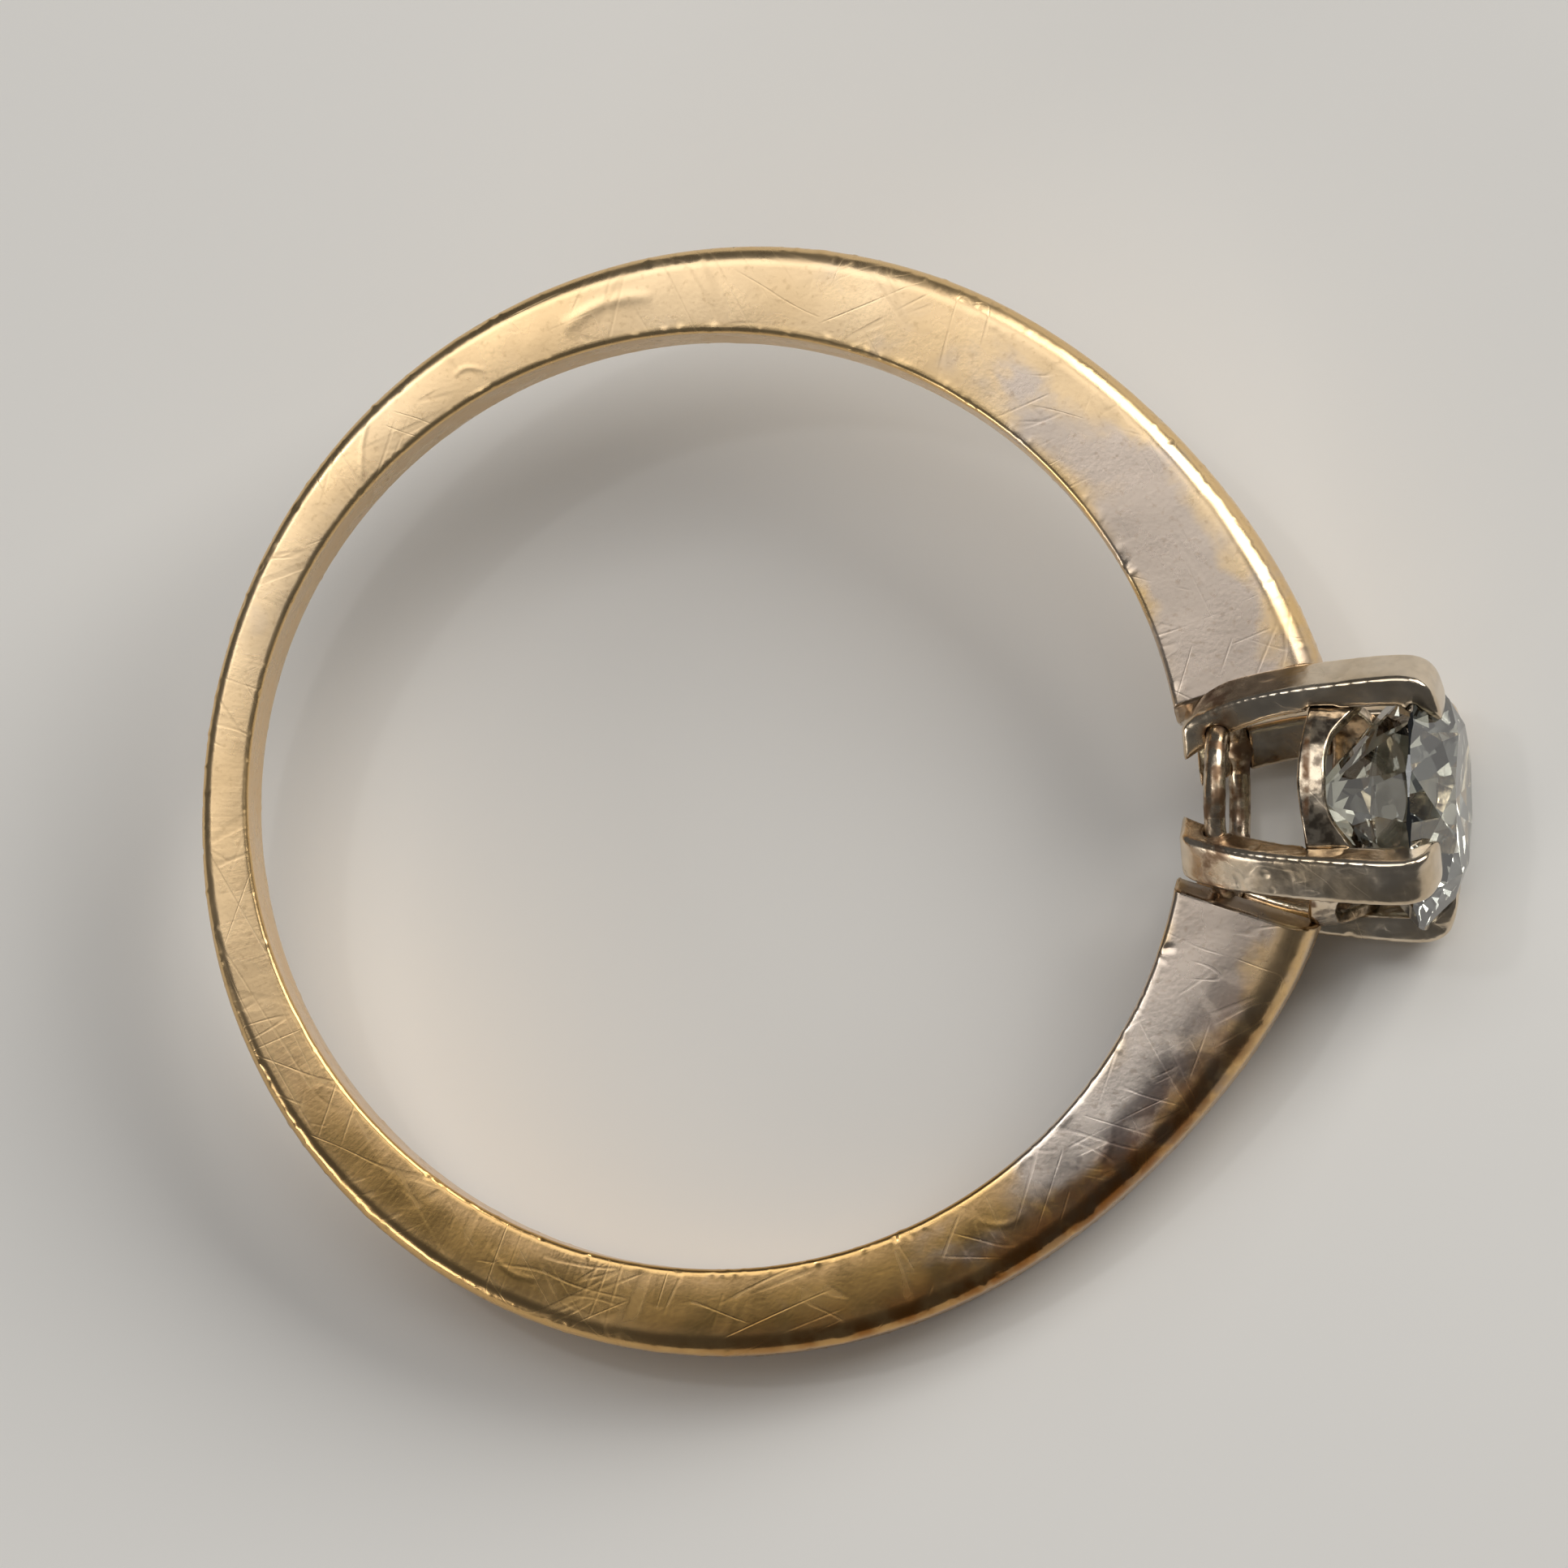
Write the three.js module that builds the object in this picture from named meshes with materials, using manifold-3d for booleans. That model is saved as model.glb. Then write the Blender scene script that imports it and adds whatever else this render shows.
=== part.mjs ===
// Four-claw solitaire engagement ring, in millimetres, lying on its side.
//
// The origin is the centre of the finger bore. +Z is the finger axis, +X points
// from the finger to the stone, and the band's flat sides face +Z and -Z.
// The head has its own frame: +Z runs from its base to the stone's table, and
// its origin is the centre of its base, at the wall of the finger bore.

import * as THREE from 'three';
import { ConvexGeometry } from 'three/addons/geometries/ConvexGeometry.js';
import { mergeVertices } from 'three/addons/utils/BufferGeometryUtils.js';
import Module from 'manifold-3d';

const wasm = await Module();
wasm.setup();

// Band
const BORE_RADIUS = 8.5;
const BAND_WIDTH = 2.2;
const BACK_THICKNESS = 0.72;
const SIDE_THICKENING = 1.24;
const SIDE_SOFTENING = 0.02;
const SIDE_POWER = 0.57;
const SHOULDER_THICKENING = 0.93;
const SHOULDER_POWER = 7.7;
const UNEVEN_WEAR = 0.15;
const INNER_ROUNDING = 0.15;
const OUTER_ROUNDING_SHARE = 0.22;
const BAND_STEPS = 120;
const ROUNDING_STEPS = 3;

// Gap between the shoulders, which the head stands in
const GAP_HALF_WIDTH_AT_BORE = 1.43;
const GAP_FLARE = 0.32;
const SHOULDER_POINT_HALF_WIDTH = 0.5;
const SHOULDER_POINT_SLOPE = 0.42;
const GAP_DEPTH = 4.5;
const GAP_LAYER = 0.5;
const GAP_LAYERS = 8;

// Head, with heights measured from the bottom ends of the claws
const HEAD_BASE_FROM_AXIS = 8.62;
const HEAD_LEAN = THREE.MathUtils.degToRad(6);
const HEAD_TWIST = THREE.MathUtils.degToRad(-9.5);
const CLAW_COUNT = 4;
const CLAW_WIDTH = 0.92;
const CLAW_EDGE_ROUNDING = 0.08;
const CLAW_TIP_REACH = 1.76;
const CLAW_TIP_TOP = 4.84;
const CLAW_BEND_TOP = 4.7;
const CLAW_TIP_ROUND_FROM = 4.32;
const TIP_ROUNDER_HEIGHT = 1;
const TIP_STEPS = 24;
const CLAW_CURVE_STEPS = 8;
const LOWER_RAIL_RADIUS = 1.74;
const LOWER_RAIL_WIRE_RADIUS = 0.2;
const LOWER_RAIL_HEIGHT = 0.66;
const WIRE_STEPS = 8;
const UPPER_RAIL_OUTER_RADIUS = 2.3;
const UPPER_RAIL_INNER_RADIUS = 1.95;
const UPPER_RAIL_BOTTOM = 2.38;
const UPPER_RAIL_WALL = 0.5;
const UPPER_RAIL_DIP = 0.16;
const RAIL_EDGE = 0.06;
const RAIL_STEPS = 48;

// Round brilliant-cut stone
const STONE_RADIUS = 2.375;
const GIRDLE_HEIGHT = 4.25;
const GIRDLE_THICKNESS = 0.07;
const TABLE_SHARE = 0.58;
const CROWN_ANGLE = THREE.MathUtils.degToRad(34);
const PAVILION_ANGLE = THREE.MathUtils.degToRad(40.8);
const STAR_SHARE = 0.5;
const LOWER_HALF_SHARE = 0.77;
const MAIN_FACETS = 8;
const GIRDLE_STEPS = 2 * MAIN_FACETS;

// Soldered and seated faces stand this far apart
const SEAM = 0.03;

// Corners nearer than this are one corner
const SAME_CORNER = 1e-5;

const yellowGold = () => new THREE.MeshStandardMaterial({
  color: 0xd8b878,
  roughness: 0.3,
  metalness: 1,
});

const whiteGold = () => new THREE.MeshStandardMaterial({
  color: 0xc9c2ba,
  roughness: 0.15,
  metalness: 1,
});

const diamondGlass = () => new THREE.MeshStandardMaterial({
  color: 0xdfe4e2,
  roughness: 0,
  metalness: 0,
});

function toSolid(geometry) {
  const shell = geometry.clone();
  shell.deleteAttribute('normal');
  shell.deleteAttribute('uv');
  const merged = mergeVertices(shell, SAME_CORNER);
  return new wasm.Manifold(new wasm.Mesh({
    numProp: 3,
    vertProperties: merged.attributes.position.array,
    triVerts: Uint32Array.from(merged.index.array),
  }));
}

function toGeometry(solid) {
  const mesh = solid.getMesh();
  const geometry = new THREE.BufferGeometry();
  geometry.setAttribute('position', new THREE.BufferAttribute(mesh.vertProperties, 3));
  geometry.setIndex(new THREE.BufferAttribute(mesh.triVerts, 1));
  return geometry;
}

function namedMesh(name, solid, material) {
  const geometry = toGeometry(solid).toNonIndexed();
  geometry.computeVertexNormals();
  const mesh = new THREE.Mesh(geometry, material);
  mesh.name = name;
  return mesh;
}

function bandThickness(angle) {
  const towardsHead = Math.cos(angle / 2) ** 2;
  const side = SIDE_THICKENING * (towardsHead + SIDE_SOFTENING) ** SIDE_POWER;
  const shoulder = SHOULDER_THICKENING * Math.max(0, Math.cos(angle)) ** SHOULDER_POWER;
  return BACK_THICKNESS + side + shoulder + UNEVEN_WEAR * Math.sin(2 * angle);
}

// Corners of the band's section from the lower bore edge round to the upper one,
// as [distance from the bore wall, height] points with rounded corners.
function bandSection(thickness) {
  const outer = OUTER_ROUNDING_SHARE * thickness;
  const half = BAND_WIDTH / 2;
  const corners = [
    { r: INNER_ROUNDING, z: -half + INNER_ROUNDING, size: INNER_ROUNDING, from: Math.PI },
    { r: thickness - outer, z: -half + outer, size: outer, from: 1.5 * Math.PI },
    { r: thickness - outer, z: half - outer, size: outer, from: 0 },
    { r: INNER_ROUNDING, z: half - INNER_ROUNDING, size: INNER_ROUNDING, from: 0.5 * Math.PI },
  ];
  const points = [];
  for (const corner of corners) {
    for (let step = 0; step <= ROUNDING_STEPS; step += 1) {
      const turn = corner.from + (0.5 * Math.PI * step) / ROUNDING_STEPS;
      points.push([corner.r + corner.size * Math.cos(turn), corner.z + corner.size * Math.sin(turn)]);
    }
  }
  return points;
}

// The whole hoop before the gap is cut: a lathed section whose rings are then
// reshaped one by one to the thickness at their own angle.
function hoopGeometry() {
  const outline = bandSection(1).map(([r, z]) => new THREE.Vector2(BORE_RADIUS + r, z));
  outline.push(outline[0].clone());
  const hoop = new THREE.LatheGeometry(outline, BAND_STEPS);
  const position = hoop.attributes.position;
  for (let step = 0; step <= BAND_STEPS; step += 1) {
    const angle = (2 * Math.PI * (step % BAND_STEPS)) / BAND_STEPS;
    const section = bandSection(bandThickness(angle));
    for (let corner = 0; corner < outline.length; corner += 1) {
      const [r, z] = section[corner % section.length];
      const radius = BORE_RADIUS + r;
      position.setXYZ(
        step * outline.length + corner,
        radius * Math.cos(angle),
        radius * Math.sin(angle),
        z,
      );
    }
  }
  return hoop;
}

// A tapered block that opens the hoop for the head. It widens away from the
// middle of the band, so each shoulder ends in a blunt point between two claws.
function gapGeometry() {
  const start = BORE_RADIUS - 1;
  const end = start + GAP_DEPTH;
  const halfWidthAt = (x) => GAP_HALF_WIDTH_AT_BORE + GAP_FLARE * (x - BORE_RADIUS);
  const outline = new THREE.Shape();
  outline.moveTo(start, -halfWidthAt(start));
  outline.lineTo(end, -halfWidthAt(end));
  outline.lineTo(end, halfWidthAt(end));
  outline.lineTo(start, halfWidthAt(start));
  const depth = GAP_LAYER * GAP_LAYERS;
  const block = new THREE.ExtrudeGeometry(outline, {
    depth,
    steps: GAP_LAYERS,
    bevelEnabled: false,
  });
  block.translate(0, 0, -depth / 2);
  const position = block.attributes.position;
  for (let i = 0; i < position.count; i += 1) {
    const beyondPoint = Math.max(0, Math.abs(position.getZ(i)) - SHOULDER_POINT_HALF_WIDTH);
    const spread = SHOULDER_POINT_SLOPE * beyondPoint;
    position.setY(i, position.getY(i) + spread * Math.sign(position.getY(i)));
  }
  return block;
}

// Side view of one claw, x away from the head's axis and y up its height: a
// tulip flare from the base, then a tip that folds over the stone's crown.
function clawOutline() {
  const outline = new THREE.Shape();
  outline.moveTo(1.1, 0);
  outline.lineTo(1.8, 0);
  outline.bezierCurveTo(1.98, 0.08, 2.14, 0.36, 2.28, 0.7);
  outline.bezierCurveTo(2.46, 1.1, 2.62, 1.8, 2.72, 2.6);
  outline.bezierCurveTo(2.79, 3.1, 2.85, 3.5, 2.87, 3.9);
  outline.bezierCurveTo(2.89, 4.36, 2.72, 4.64, 2.3, CLAW_BEND_TOP);
  outline.bezierCurveTo(2.1, 4.75, CLAW_TIP_REACH, CLAW_TIP_TOP, CLAW_TIP_REACH, 4.6);
  outline.lineTo(CLAW_TIP_REACH, 4.3);
  outline.lineTo(2.24, 4.0);
  outline.bezierCurveTo(2.24, 3.4, 2.22, 2.8, 2.12, 2.2);
  outline.bezierCurveTo(2.02, 1.5, 1.68, 0.75, 1.1, 0);
  const corners = outline.getPoints(CLAW_CURVE_STEPS);
  corners.pop();
  return new THREE.Shape(corners);
}

// One claw, turned to its place round the head's axis. With a margin it is the
// tool that leaves room for that claw in its neighbours.
function clawBlank(place, margin) {
  const rounding = CLAW_EDGE_ROUNDING;
  const flatWidth = CLAW_WIDTH - 2 * rounding;
  const blank = new THREE.ExtrudeGeometry(clawOutline(), {
    depth: flatWidth,
    bevelThickness: rounding + margin,
    bevelSize: rounding + margin,
    bevelOffset: -rounding,
    bevelSegments: 2,
  });
  blank.translate(0, 0, -flatWidth / 2);
  blank.rotateX(Math.PI / 2);
  blank.rotateZ(place);
  return blank;
}

// Block with a round bite out of it, which leaves a half-round end on the
// folded tip of the claw at the given place.
function tipRounder(place) {
  const radius = CLAW_WIDTH / 2;
  const middle = CLAW_TIP_ROUND_FROM + TIP_ROUNDER_HEIGHT / 2;
  const block = new THREE.BoxGeometry(2 * radius, 4 * radius, TIP_ROUNDER_HEIGHT);
  block.translate(CLAW_TIP_REACH, 0, middle);
  block.rotateZ(place);
  const end = new THREE.CylinderGeometry(radius, radius, 2 * TIP_ROUNDER_HEIGHT, TIP_STEPS);
  end.rotateX(Math.PI / 2);
  end.translate(CLAW_TIP_REACH + radius, 0, middle);
  end.rotateZ(place);
  return toSolid(block).subtract(toSolid(end));
}

// Round wire that ties the claws together just above the finger.
function lowerRailGeometry(margin) {
  const wire = new THREE.TorusGeometry(
    LOWER_RAIL_RADIUS,
    LOWER_RAIL_WIRE_RADIUS + margin,
    WIRE_STEPS,
    RAIL_STEPS,
  );
  wire.translate(0, 0, LOWER_RAIL_HEIGHT);
  return wire;
}

// Flat band under the stone, hanging in a shallow curve from claw to claw.
function upperRailGeometry(margin) {
  const inner = UPPER_RAIL_INNER_RADIUS - margin;
  const outer = UPPER_RAIL_OUTER_RADIUS + margin;
  const bottom = UPPER_RAIL_BOTTOM - margin;
  const top = UPPER_RAIL_BOTTOM + UPPER_RAIL_WALL + margin;
  const outline = [
    new THREE.Vector2(inner, bottom),
    new THREE.Vector2(outer - RAIL_EDGE, bottom),
    new THREE.Vector2(outer, bottom + RAIL_EDGE),
    new THREE.Vector2(outer, top - RAIL_EDGE),
    new THREE.Vector2(outer - RAIL_EDGE, top),
    new THREE.Vector2(inner, top),
    new THREE.Vector2(inner, bottom),
  ];
  const rail = new THREE.LatheGeometry(outline, RAIL_STEPS);
  rail.rotateX(Math.PI / 2);
  const position = rail.attributes.position;
  for (let i = 0; i < position.count; i += 1) {
    const angle = Math.atan2(position.getY(i), position.getX(i));
    const hang = (UPPER_RAIL_DIP * (1 + Math.cos(CLAW_COUNT * angle))) / 2;
    position.setZ(i, position.getZ(i) - hang);
  }
  return rail;
}

function ringOfPoints(radius, height, count, offset) {
  const points = [];
  for (let i = 0; i < count; i += 1) {
    const angle = (2 * Math.PI * (i + offset)) / count;
    points.push(new THREE.Vector3(radius * Math.cos(angle), radius * Math.sin(angle), height));
  }
  return points;
}

// Half the angle between neighbouring main facets. Two of them meet there, and a
// corner on that line is this much nearer the axis along each main facet.
const HALF_FACET_TURN = Math.PI / MAIN_FACETS;
const mainFacetReach = (cornerRadius) => cornerRadius * Math.cos(HALF_FACET_TURN);

// Brilliant cut: table, stars, mains and halves above the girdle, halves and
// mains below it. Every facet is a flat face of the hull of its corners.
function stoneGeometry(margin) {
  const radius = STONE_RADIUS + margin;
  const tableRadius = TABLE_SHARE * radius;
  const tableEdge = mainFacetReach(tableRadius);
  const starRadius = tableEdge + STAR_SHARE * (radius - tableEdge);
  const halfRadius = (1 - LOWER_HALF_SHARE) * radius;
  const crownHeight = (reach) => (
    GIRDLE_HEIGHT + GIRDLE_THICKNESS / 2 + (radius - reach) * Math.tan(CROWN_ANGLE)
  );
  const pavilionHeight = (reach) => (
    GIRDLE_HEIGHT - GIRDLE_THICKNESS / 2 - (radius - reach) * Math.tan(PAVILION_ANGLE)
  );
  return new ConvexGeometry([
    ...ringOfPoints(tableRadius, crownHeight(tableRadius), MAIN_FACETS, 0),
    ...ringOfPoints(starRadius, crownHeight(mainFacetReach(starRadius)), MAIN_FACETS, 0.5),
    ...ringOfPoints(radius, crownHeight(radius), GIRDLE_STEPS, 0),
    ...ringOfPoints(radius, pavilionHeight(radius), GIRDLE_STEPS, 0),
    ...ringOfPoints(halfRadius, pavilionHeight(mainFacetReach(halfRadius)), MAIN_FACETS, 0.5),
    new THREE.Vector3(0, 0, pavilionHeight(0)),
  ]);
}

function clawPlaces() {
  const places = [];
  for (let i = 0; i < CLAW_COUNT; i += 1) {
    places.push((2 * Math.PI * (i + 0.5)) / CLAW_COUNT);
  }
  return places;
}

// Claws are grooved for both rails and notched for the stone's girdle.
function buildClaw(name, place) {
  const solid = toSolid(clawBlank(place, 0))
    .subtract(tipRounder(place))
    .subtract(toSolid(stoneGeometry(SEAM)))
    .subtract(toSolid(lowerRailGeometry(SEAM)))
    .subtract(toSolid(upperRailGeometry(SEAM)));
  return namedMesh(name, solid, whiteGold());
}

function buildHeadParts() {
  const names = ['claw_left_upper', 'claw_right_upper', 'claw_right_lower', 'claw_left_lower'];
  const places = clawPlaces();
  return [
    ...names.map((name, i) => buildClaw(name, places[i])),
    namedMesh('lower_gallery_rail', toSolid(lowerRailGeometry(0)), whiteGold()),
    namedMesh('upper_gallery_rail', toSolid(upperRailGeometry(0)), whiteGold()),
    namedMesh('diamond', toSolid(stoneGeometry(0)), diamondGlass()),
  ];
}

// Head frame: it stands on the bore wall, leans a little towards +Z, and
// its +X, +Y and +Z are the ring's +Y, +Z and +X before it is twisted.
function headFrame() {
  const standing = new THREE.Group();
  standing.position.set(HEAD_BASE_FROM_AXIS, 0, 0);
  standing.rotation.y = -HEAD_LEAN;
  const facingOut = new THREE.Group();
  const axes = new THREE.Matrix4().makeBasis(
    new THREE.Vector3(0, 1, 0),
    new THREE.Vector3(0, 0, 1),
    new THREE.Vector3(1, 0, 0),
  );
  facingOut.quaternion.setFromRotationMatrix(axes);
  const twisted = new THREE.Group();
  twisted.rotation.z = HEAD_TWIST;
  standing.add(facingOut);
  facingOut.add(twisted);
  standing.updateMatrixWorld(true);
  return { standing, twisted };
}

// The hoop, opened for the head and relieved round its claws and rails.
function buildShank(headMatrix) {
  const reliefs = [
    gapGeometry(),
    ...clawPlaces().map((place) => clawBlank(place, SEAM).applyMatrix4(headMatrix)),
    lowerRailGeometry(SEAM).applyMatrix4(headMatrix),
    upperRailGeometry(SEAM).applyMatrix4(headMatrix),
  ];
  const solid = reliefs.reduce(
    (band, relief) => band.subtract(toSolid(relief)),
    toSolid(hoopGeometry()),
  );
  return namedMesh('shank', solid, yellowGold());
}

function buildRing() {
  const { standing, twisted } = headFrame();
  twisted.add(...buildHeadParts());
  const ring = new THREE.Group();
  ring.add(buildShank(twisted.matrixWorld), standing);
  return ring;
}

export default buildRing();
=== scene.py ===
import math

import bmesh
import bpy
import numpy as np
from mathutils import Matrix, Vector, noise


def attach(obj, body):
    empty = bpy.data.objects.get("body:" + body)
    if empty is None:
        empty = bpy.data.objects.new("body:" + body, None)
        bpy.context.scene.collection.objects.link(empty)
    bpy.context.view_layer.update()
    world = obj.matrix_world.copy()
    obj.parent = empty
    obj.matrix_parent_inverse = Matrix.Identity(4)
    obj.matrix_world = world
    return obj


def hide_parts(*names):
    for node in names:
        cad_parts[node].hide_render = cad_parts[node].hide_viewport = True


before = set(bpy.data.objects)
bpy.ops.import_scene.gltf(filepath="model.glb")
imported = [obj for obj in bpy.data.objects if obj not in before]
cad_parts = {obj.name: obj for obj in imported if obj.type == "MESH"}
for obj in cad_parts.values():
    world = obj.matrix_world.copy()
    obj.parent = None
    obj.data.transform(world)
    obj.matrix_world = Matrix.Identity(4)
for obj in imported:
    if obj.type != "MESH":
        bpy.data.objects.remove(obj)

# A worn four-claw solitaire engagement ring, lying on its side on a pale surface.
# Sizes are in millimetres and are turned into metres as each mesh is made.
# The ring's frame: origin at the centre of the finger bore, +Z along the finger
# axis, +X from the finger to the stone. The head's frame: +Z from the bottom ends
# of the claws to the stone's table, origin in the middle of its base.

MM = 0.001

# Band
BORE_RADIUS = 8.5
BAND_WIDTH = 2.2
BACK_THICKNESS = 0.72
SIDE_THICKENING = 1.24
SIDE_SOFTENING = 0.02
SIDE_POWER = 0.57
SHOULDER_THICKENING = 0.93
SHOULDER_POWER = 7.7
UNEVEN_WEAR = 0.15
INNER_ROUNDING = 0.11
OUTER_ROUNDING_SHARE = 0.22
SIDE_DOME = 0.012
RING_STEPS = 1400
END_ROUNDING = (0.05, 0.016, 0.0)

# Gap between the shoulders
GAP_HALF_WIDTH_AT_BORE = 1.43
GAP_FLARE = 0.32
SHOULDER_POINT_HALF_WIDTH = 0.5
SHOULDER_POINT_SLOPE = 0.42
END_COLUMNS = 8

# Head
HEAD_BASE_FROM_AXIS = 8.62
HEAD_LEAN = math.radians(6)
HEAD_TWIST = math.radians(-9.5)
CLAWS = ("claw_left_upper", "claw_right_upper", "claw_right_lower", "claw_left_lower")
CLAW_COUNT = len(CLAWS)
LOWER_RAIL_RADIUS = 1.74
LOWER_RAIL_WIRE = 0.2
LOWER_RAIL_HEIGHT = 0.66
SOLDER_SWELL = 0.1
SOLDER_SPREAD = 0.14
UPPER_RAIL_MIDDLE = 2.125
UPPER_RAIL_HALF_WALL = 0.17
UPPER_RAIL_BOTTOM = 2.38
UPPER_RAIL_HEIGHT = 0.5
UPPER_RAIL_DIP = 0.16
UPPER_RAIL_RISE = 0.42
UPPER_RAIL_EDGE = 0.06
UPPER_RAIL_TOP_SHARE = 0.75
CLAW_FACE_SIZE = 0.028
CLAW_SMOOTHING = 0.5
CLAW_SMOOTHING_STEPS = 36

# Stone
STONE_RADIUS = 2.375
GIRDLE_HEIGHT = 4.25
GIRDLE_HALF_THICKNESS = 0.055
TABLE_SHARE = 0.58
CROWN_ANGLE = math.radians(34)
PAVILION_ANGLE = math.radians(40.8)
STAR_SHARE = 0.5
LOWER_HALF_SHARE = 0.77
MAIN_FACETS = 8
GIRDLE_STEPS = 96
DIAMOND_IOR = 2.417

# Camera, straight above the ring and a little off its axis
CAMERA_TARGET = Vector((1.198, 0.34, 0.0))
CAMERA_DIRECTION = Vector((0.07, -0.05, 1.0))
CAMERA_DISTANCE = 200.0
VIEW_WIDTH = 28.58
SENSOR_WIDTH = 36.0

FLOOR_SIZE = 1600.0


def head_matrix():
    """Place of the head's frame in the ring's frame, in metres."""
    base = Matrix.Translation((HEAD_BASE_FROM_AXIS * MM, 0, 0))
    lean = Matrix.Rotation(-HEAD_LEAN, 4, "Y")
    facing_out = Matrix(((0, 0, 1, 0), (1, 0, 0, 0), (0, 1, 0, 0), (0, 0, 0, 1)))
    return base @ lean @ facing_out @ Matrix.Rotation(HEAD_TWIST, 4, "Z")


HEAD = head_matrix()


# ---------------------------------------------------------------- meshes

def mesh_object(name, vertices, faces, matrix=None, smooth=True):
    """A mesh object from points in millimetres, with its faces turned outwards."""
    mesh = bpy.data.meshes.new(name)
    mesh.from_pydata([tuple(MM * c for c in v) for v in vertices], [], faces)
    shell = bmesh.new()
    shell.from_mesh(mesh)
    bmesh.ops.recalc_face_normals(shell, faces=shell.faces)
    shell.to_mesh(mesh)
    shell.free()
    mesh.polygons.foreach_set("use_smooth", [smooth] * len(mesh.polygons))
    piece = bpy.data.objects.new(name, mesh)
    bpy.context.scene.collection.objects.link(piece)
    if matrix is not None:
        piece.matrix_world = matrix
    return piece


def set_in_head(piece):
    """Moves a mesh made in the head's frame to its place on the ring."""
    piece.data.transform(HEAD)
    return piece


def push_along_normals(mesh, depth_at):
    """Moves each vertex along its normal by depth_at(its index and its place, both in mm)."""
    count = len(mesh.vertices)
    places = np.zeros(count * 3, np.float32)
    normals = np.zeros(count * 3, np.float32)
    mesh.vertices.foreach_get("co", places)
    mesh.vertices.foreach_get("normal", normals)
    places = places.reshape(-1, 3)
    normals = normals.reshape(-1, 3)
    depths = [depth_at(i, Vector(p) / MM) for i, p in enumerate(places)]
    places += normals * (np.array(depths, np.float32) * MM)[:, None]
    mesh.vertices.foreach_set("co", places.ravel())
    mesh.update()


def above(value, threshold):
    """How far a value is above a threshold, as a share of what is left up to 1."""
    return max(0.0, value - threshold) / (1 - threshold)


def bell(offset, width):
    return math.exp(-((offset / width) ** 2))


# ---------------------------------------------------------------- shank

def band_thickness(angle):
    towards_head = np.cos(angle / 2) ** 2
    side = SIDE_THICKENING * (towards_head + SIDE_SOFTENING) ** SIDE_POWER
    shoulder = SHOULDER_THICKENING * np.maximum(0, np.cos(angle)) ** SHOULDER_POWER
    return BACK_THICKNESS + side + shoulder + UNEVEN_WEAR * np.sin(2 * angle)


def half_section(thickness):
    """Upper half of the band's section, from the middle of the bore wall to the
    middle of the outer face, as rows of (distance from the bore wall, height)."""
    half = BAND_WIDTH / 2
    outer = OUTER_ROUNDING_SHARE * thickness
    rows = [(0.0, (half - INNER_ROUNDING) * u) for u in np.linspace(0, 1, 9)[:-1]]
    for turn in np.linspace(math.pi, math.pi / 2, 7):
        rows.append((
            INNER_ROUNDING * (1 + math.cos(turn)),
            half - INNER_ROUNDING * (1 - math.sin(turn)),
        ))
    for u in np.linspace(0, 1, 24)[1:-1]:
        rows.append((INNER_ROUNDING + u * (thickness - outer - INNER_ROUNDING), half))
    for turn in np.linspace(math.pi / 2, 0, 10):
        rows.append((
            thickness - outer * (1 - math.cos(turn)),
            half - outer * (1 - math.sin(turn)),
        ))
    rows += [(thickness, (half - outer) * u) for u in np.linspace(1, 0, 10)[1:]]
    return np.array(rows)


def gap_half_width(x, z):
    beyond_point = np.maximum(0, np.abs(z) - SHOULDER_POINT_HALF_WIDTH)
    flare = GAP_FLARE * (x - BORE_RADIUS)
    return GAP_HALF_WIDTH_AT_BORE + flare + SHOULDER_POINT_SLOPE * beyond_point


# The section's points move in proportion to the thickness.
SECTION_BASE = half_section(0.0)
SECTION_GROWTH = half_section(1.0) - SECTION_BASE


def band_points(angle):
    """Radius and height of the half section's points, each at its own angle."""
    thickness = band_thickness(angle)
    depth = SECTION_BASE[:, 0] + SECTION_GROWTH[:, 0] * thickness
    height = SECTION_BASE[:, 1] + SECTION_GROWTH[:, 1] * thickness
    dome = SIDE_DOME * (2 * depth / thickness - 1) ** 2
    return BORE_RADIUS + depth, height * (1 - dome), depth / thickness


def shoulder_angles(side):
    """Angle at which each point of the section reaches the gap, on the side that
    the sign gives."""
    angle = np.full(len(SECTION_BASE), 0.2)
    for _ in range(30):
        radius, height, _share = band_points(side * angle)
        width = gap_half_width(radius * np.cos(angle), height)
        angle = np.arcsin(width / radius)
    return angle


def shank_rings():
    """Arrays of x, y, z and share of the thickness, one row for each ring."""
    start = shoulder_angles(1)
    end = 2 * math.pi - shoulder_angles(-1)
    bevel = np.array(END_ROUNDING[::-1]) / BORE_RADIUS
    steps = np.linspace(0, 1, RING_STEPS)[1:-1]
    angles = [start + turn for turn in bevel]
    angles += [start + (end - start) * step for step in steps]
    angles += [end - turn for turn in bevel[::-1]]
    rings = []
    for i, angle in enumerate(angles):
        radius, height, share = band_points(angle)
        from_end = min(i, len(angles) - 1 - i)
        if from_end < len(END_ROUNDING):
            keep = 1 - END_ROUNDING[from_end] / (BAND_WIDTH / 2)
            middle = radius.mean()
            radius = middle + (radius - middle) * keep
            height = height * keep
        rings.append(np.stack(
            [radius * np.cos(angle), radius * np.sin(angle), height, share], axis=1,
        ))
    return rings


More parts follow.
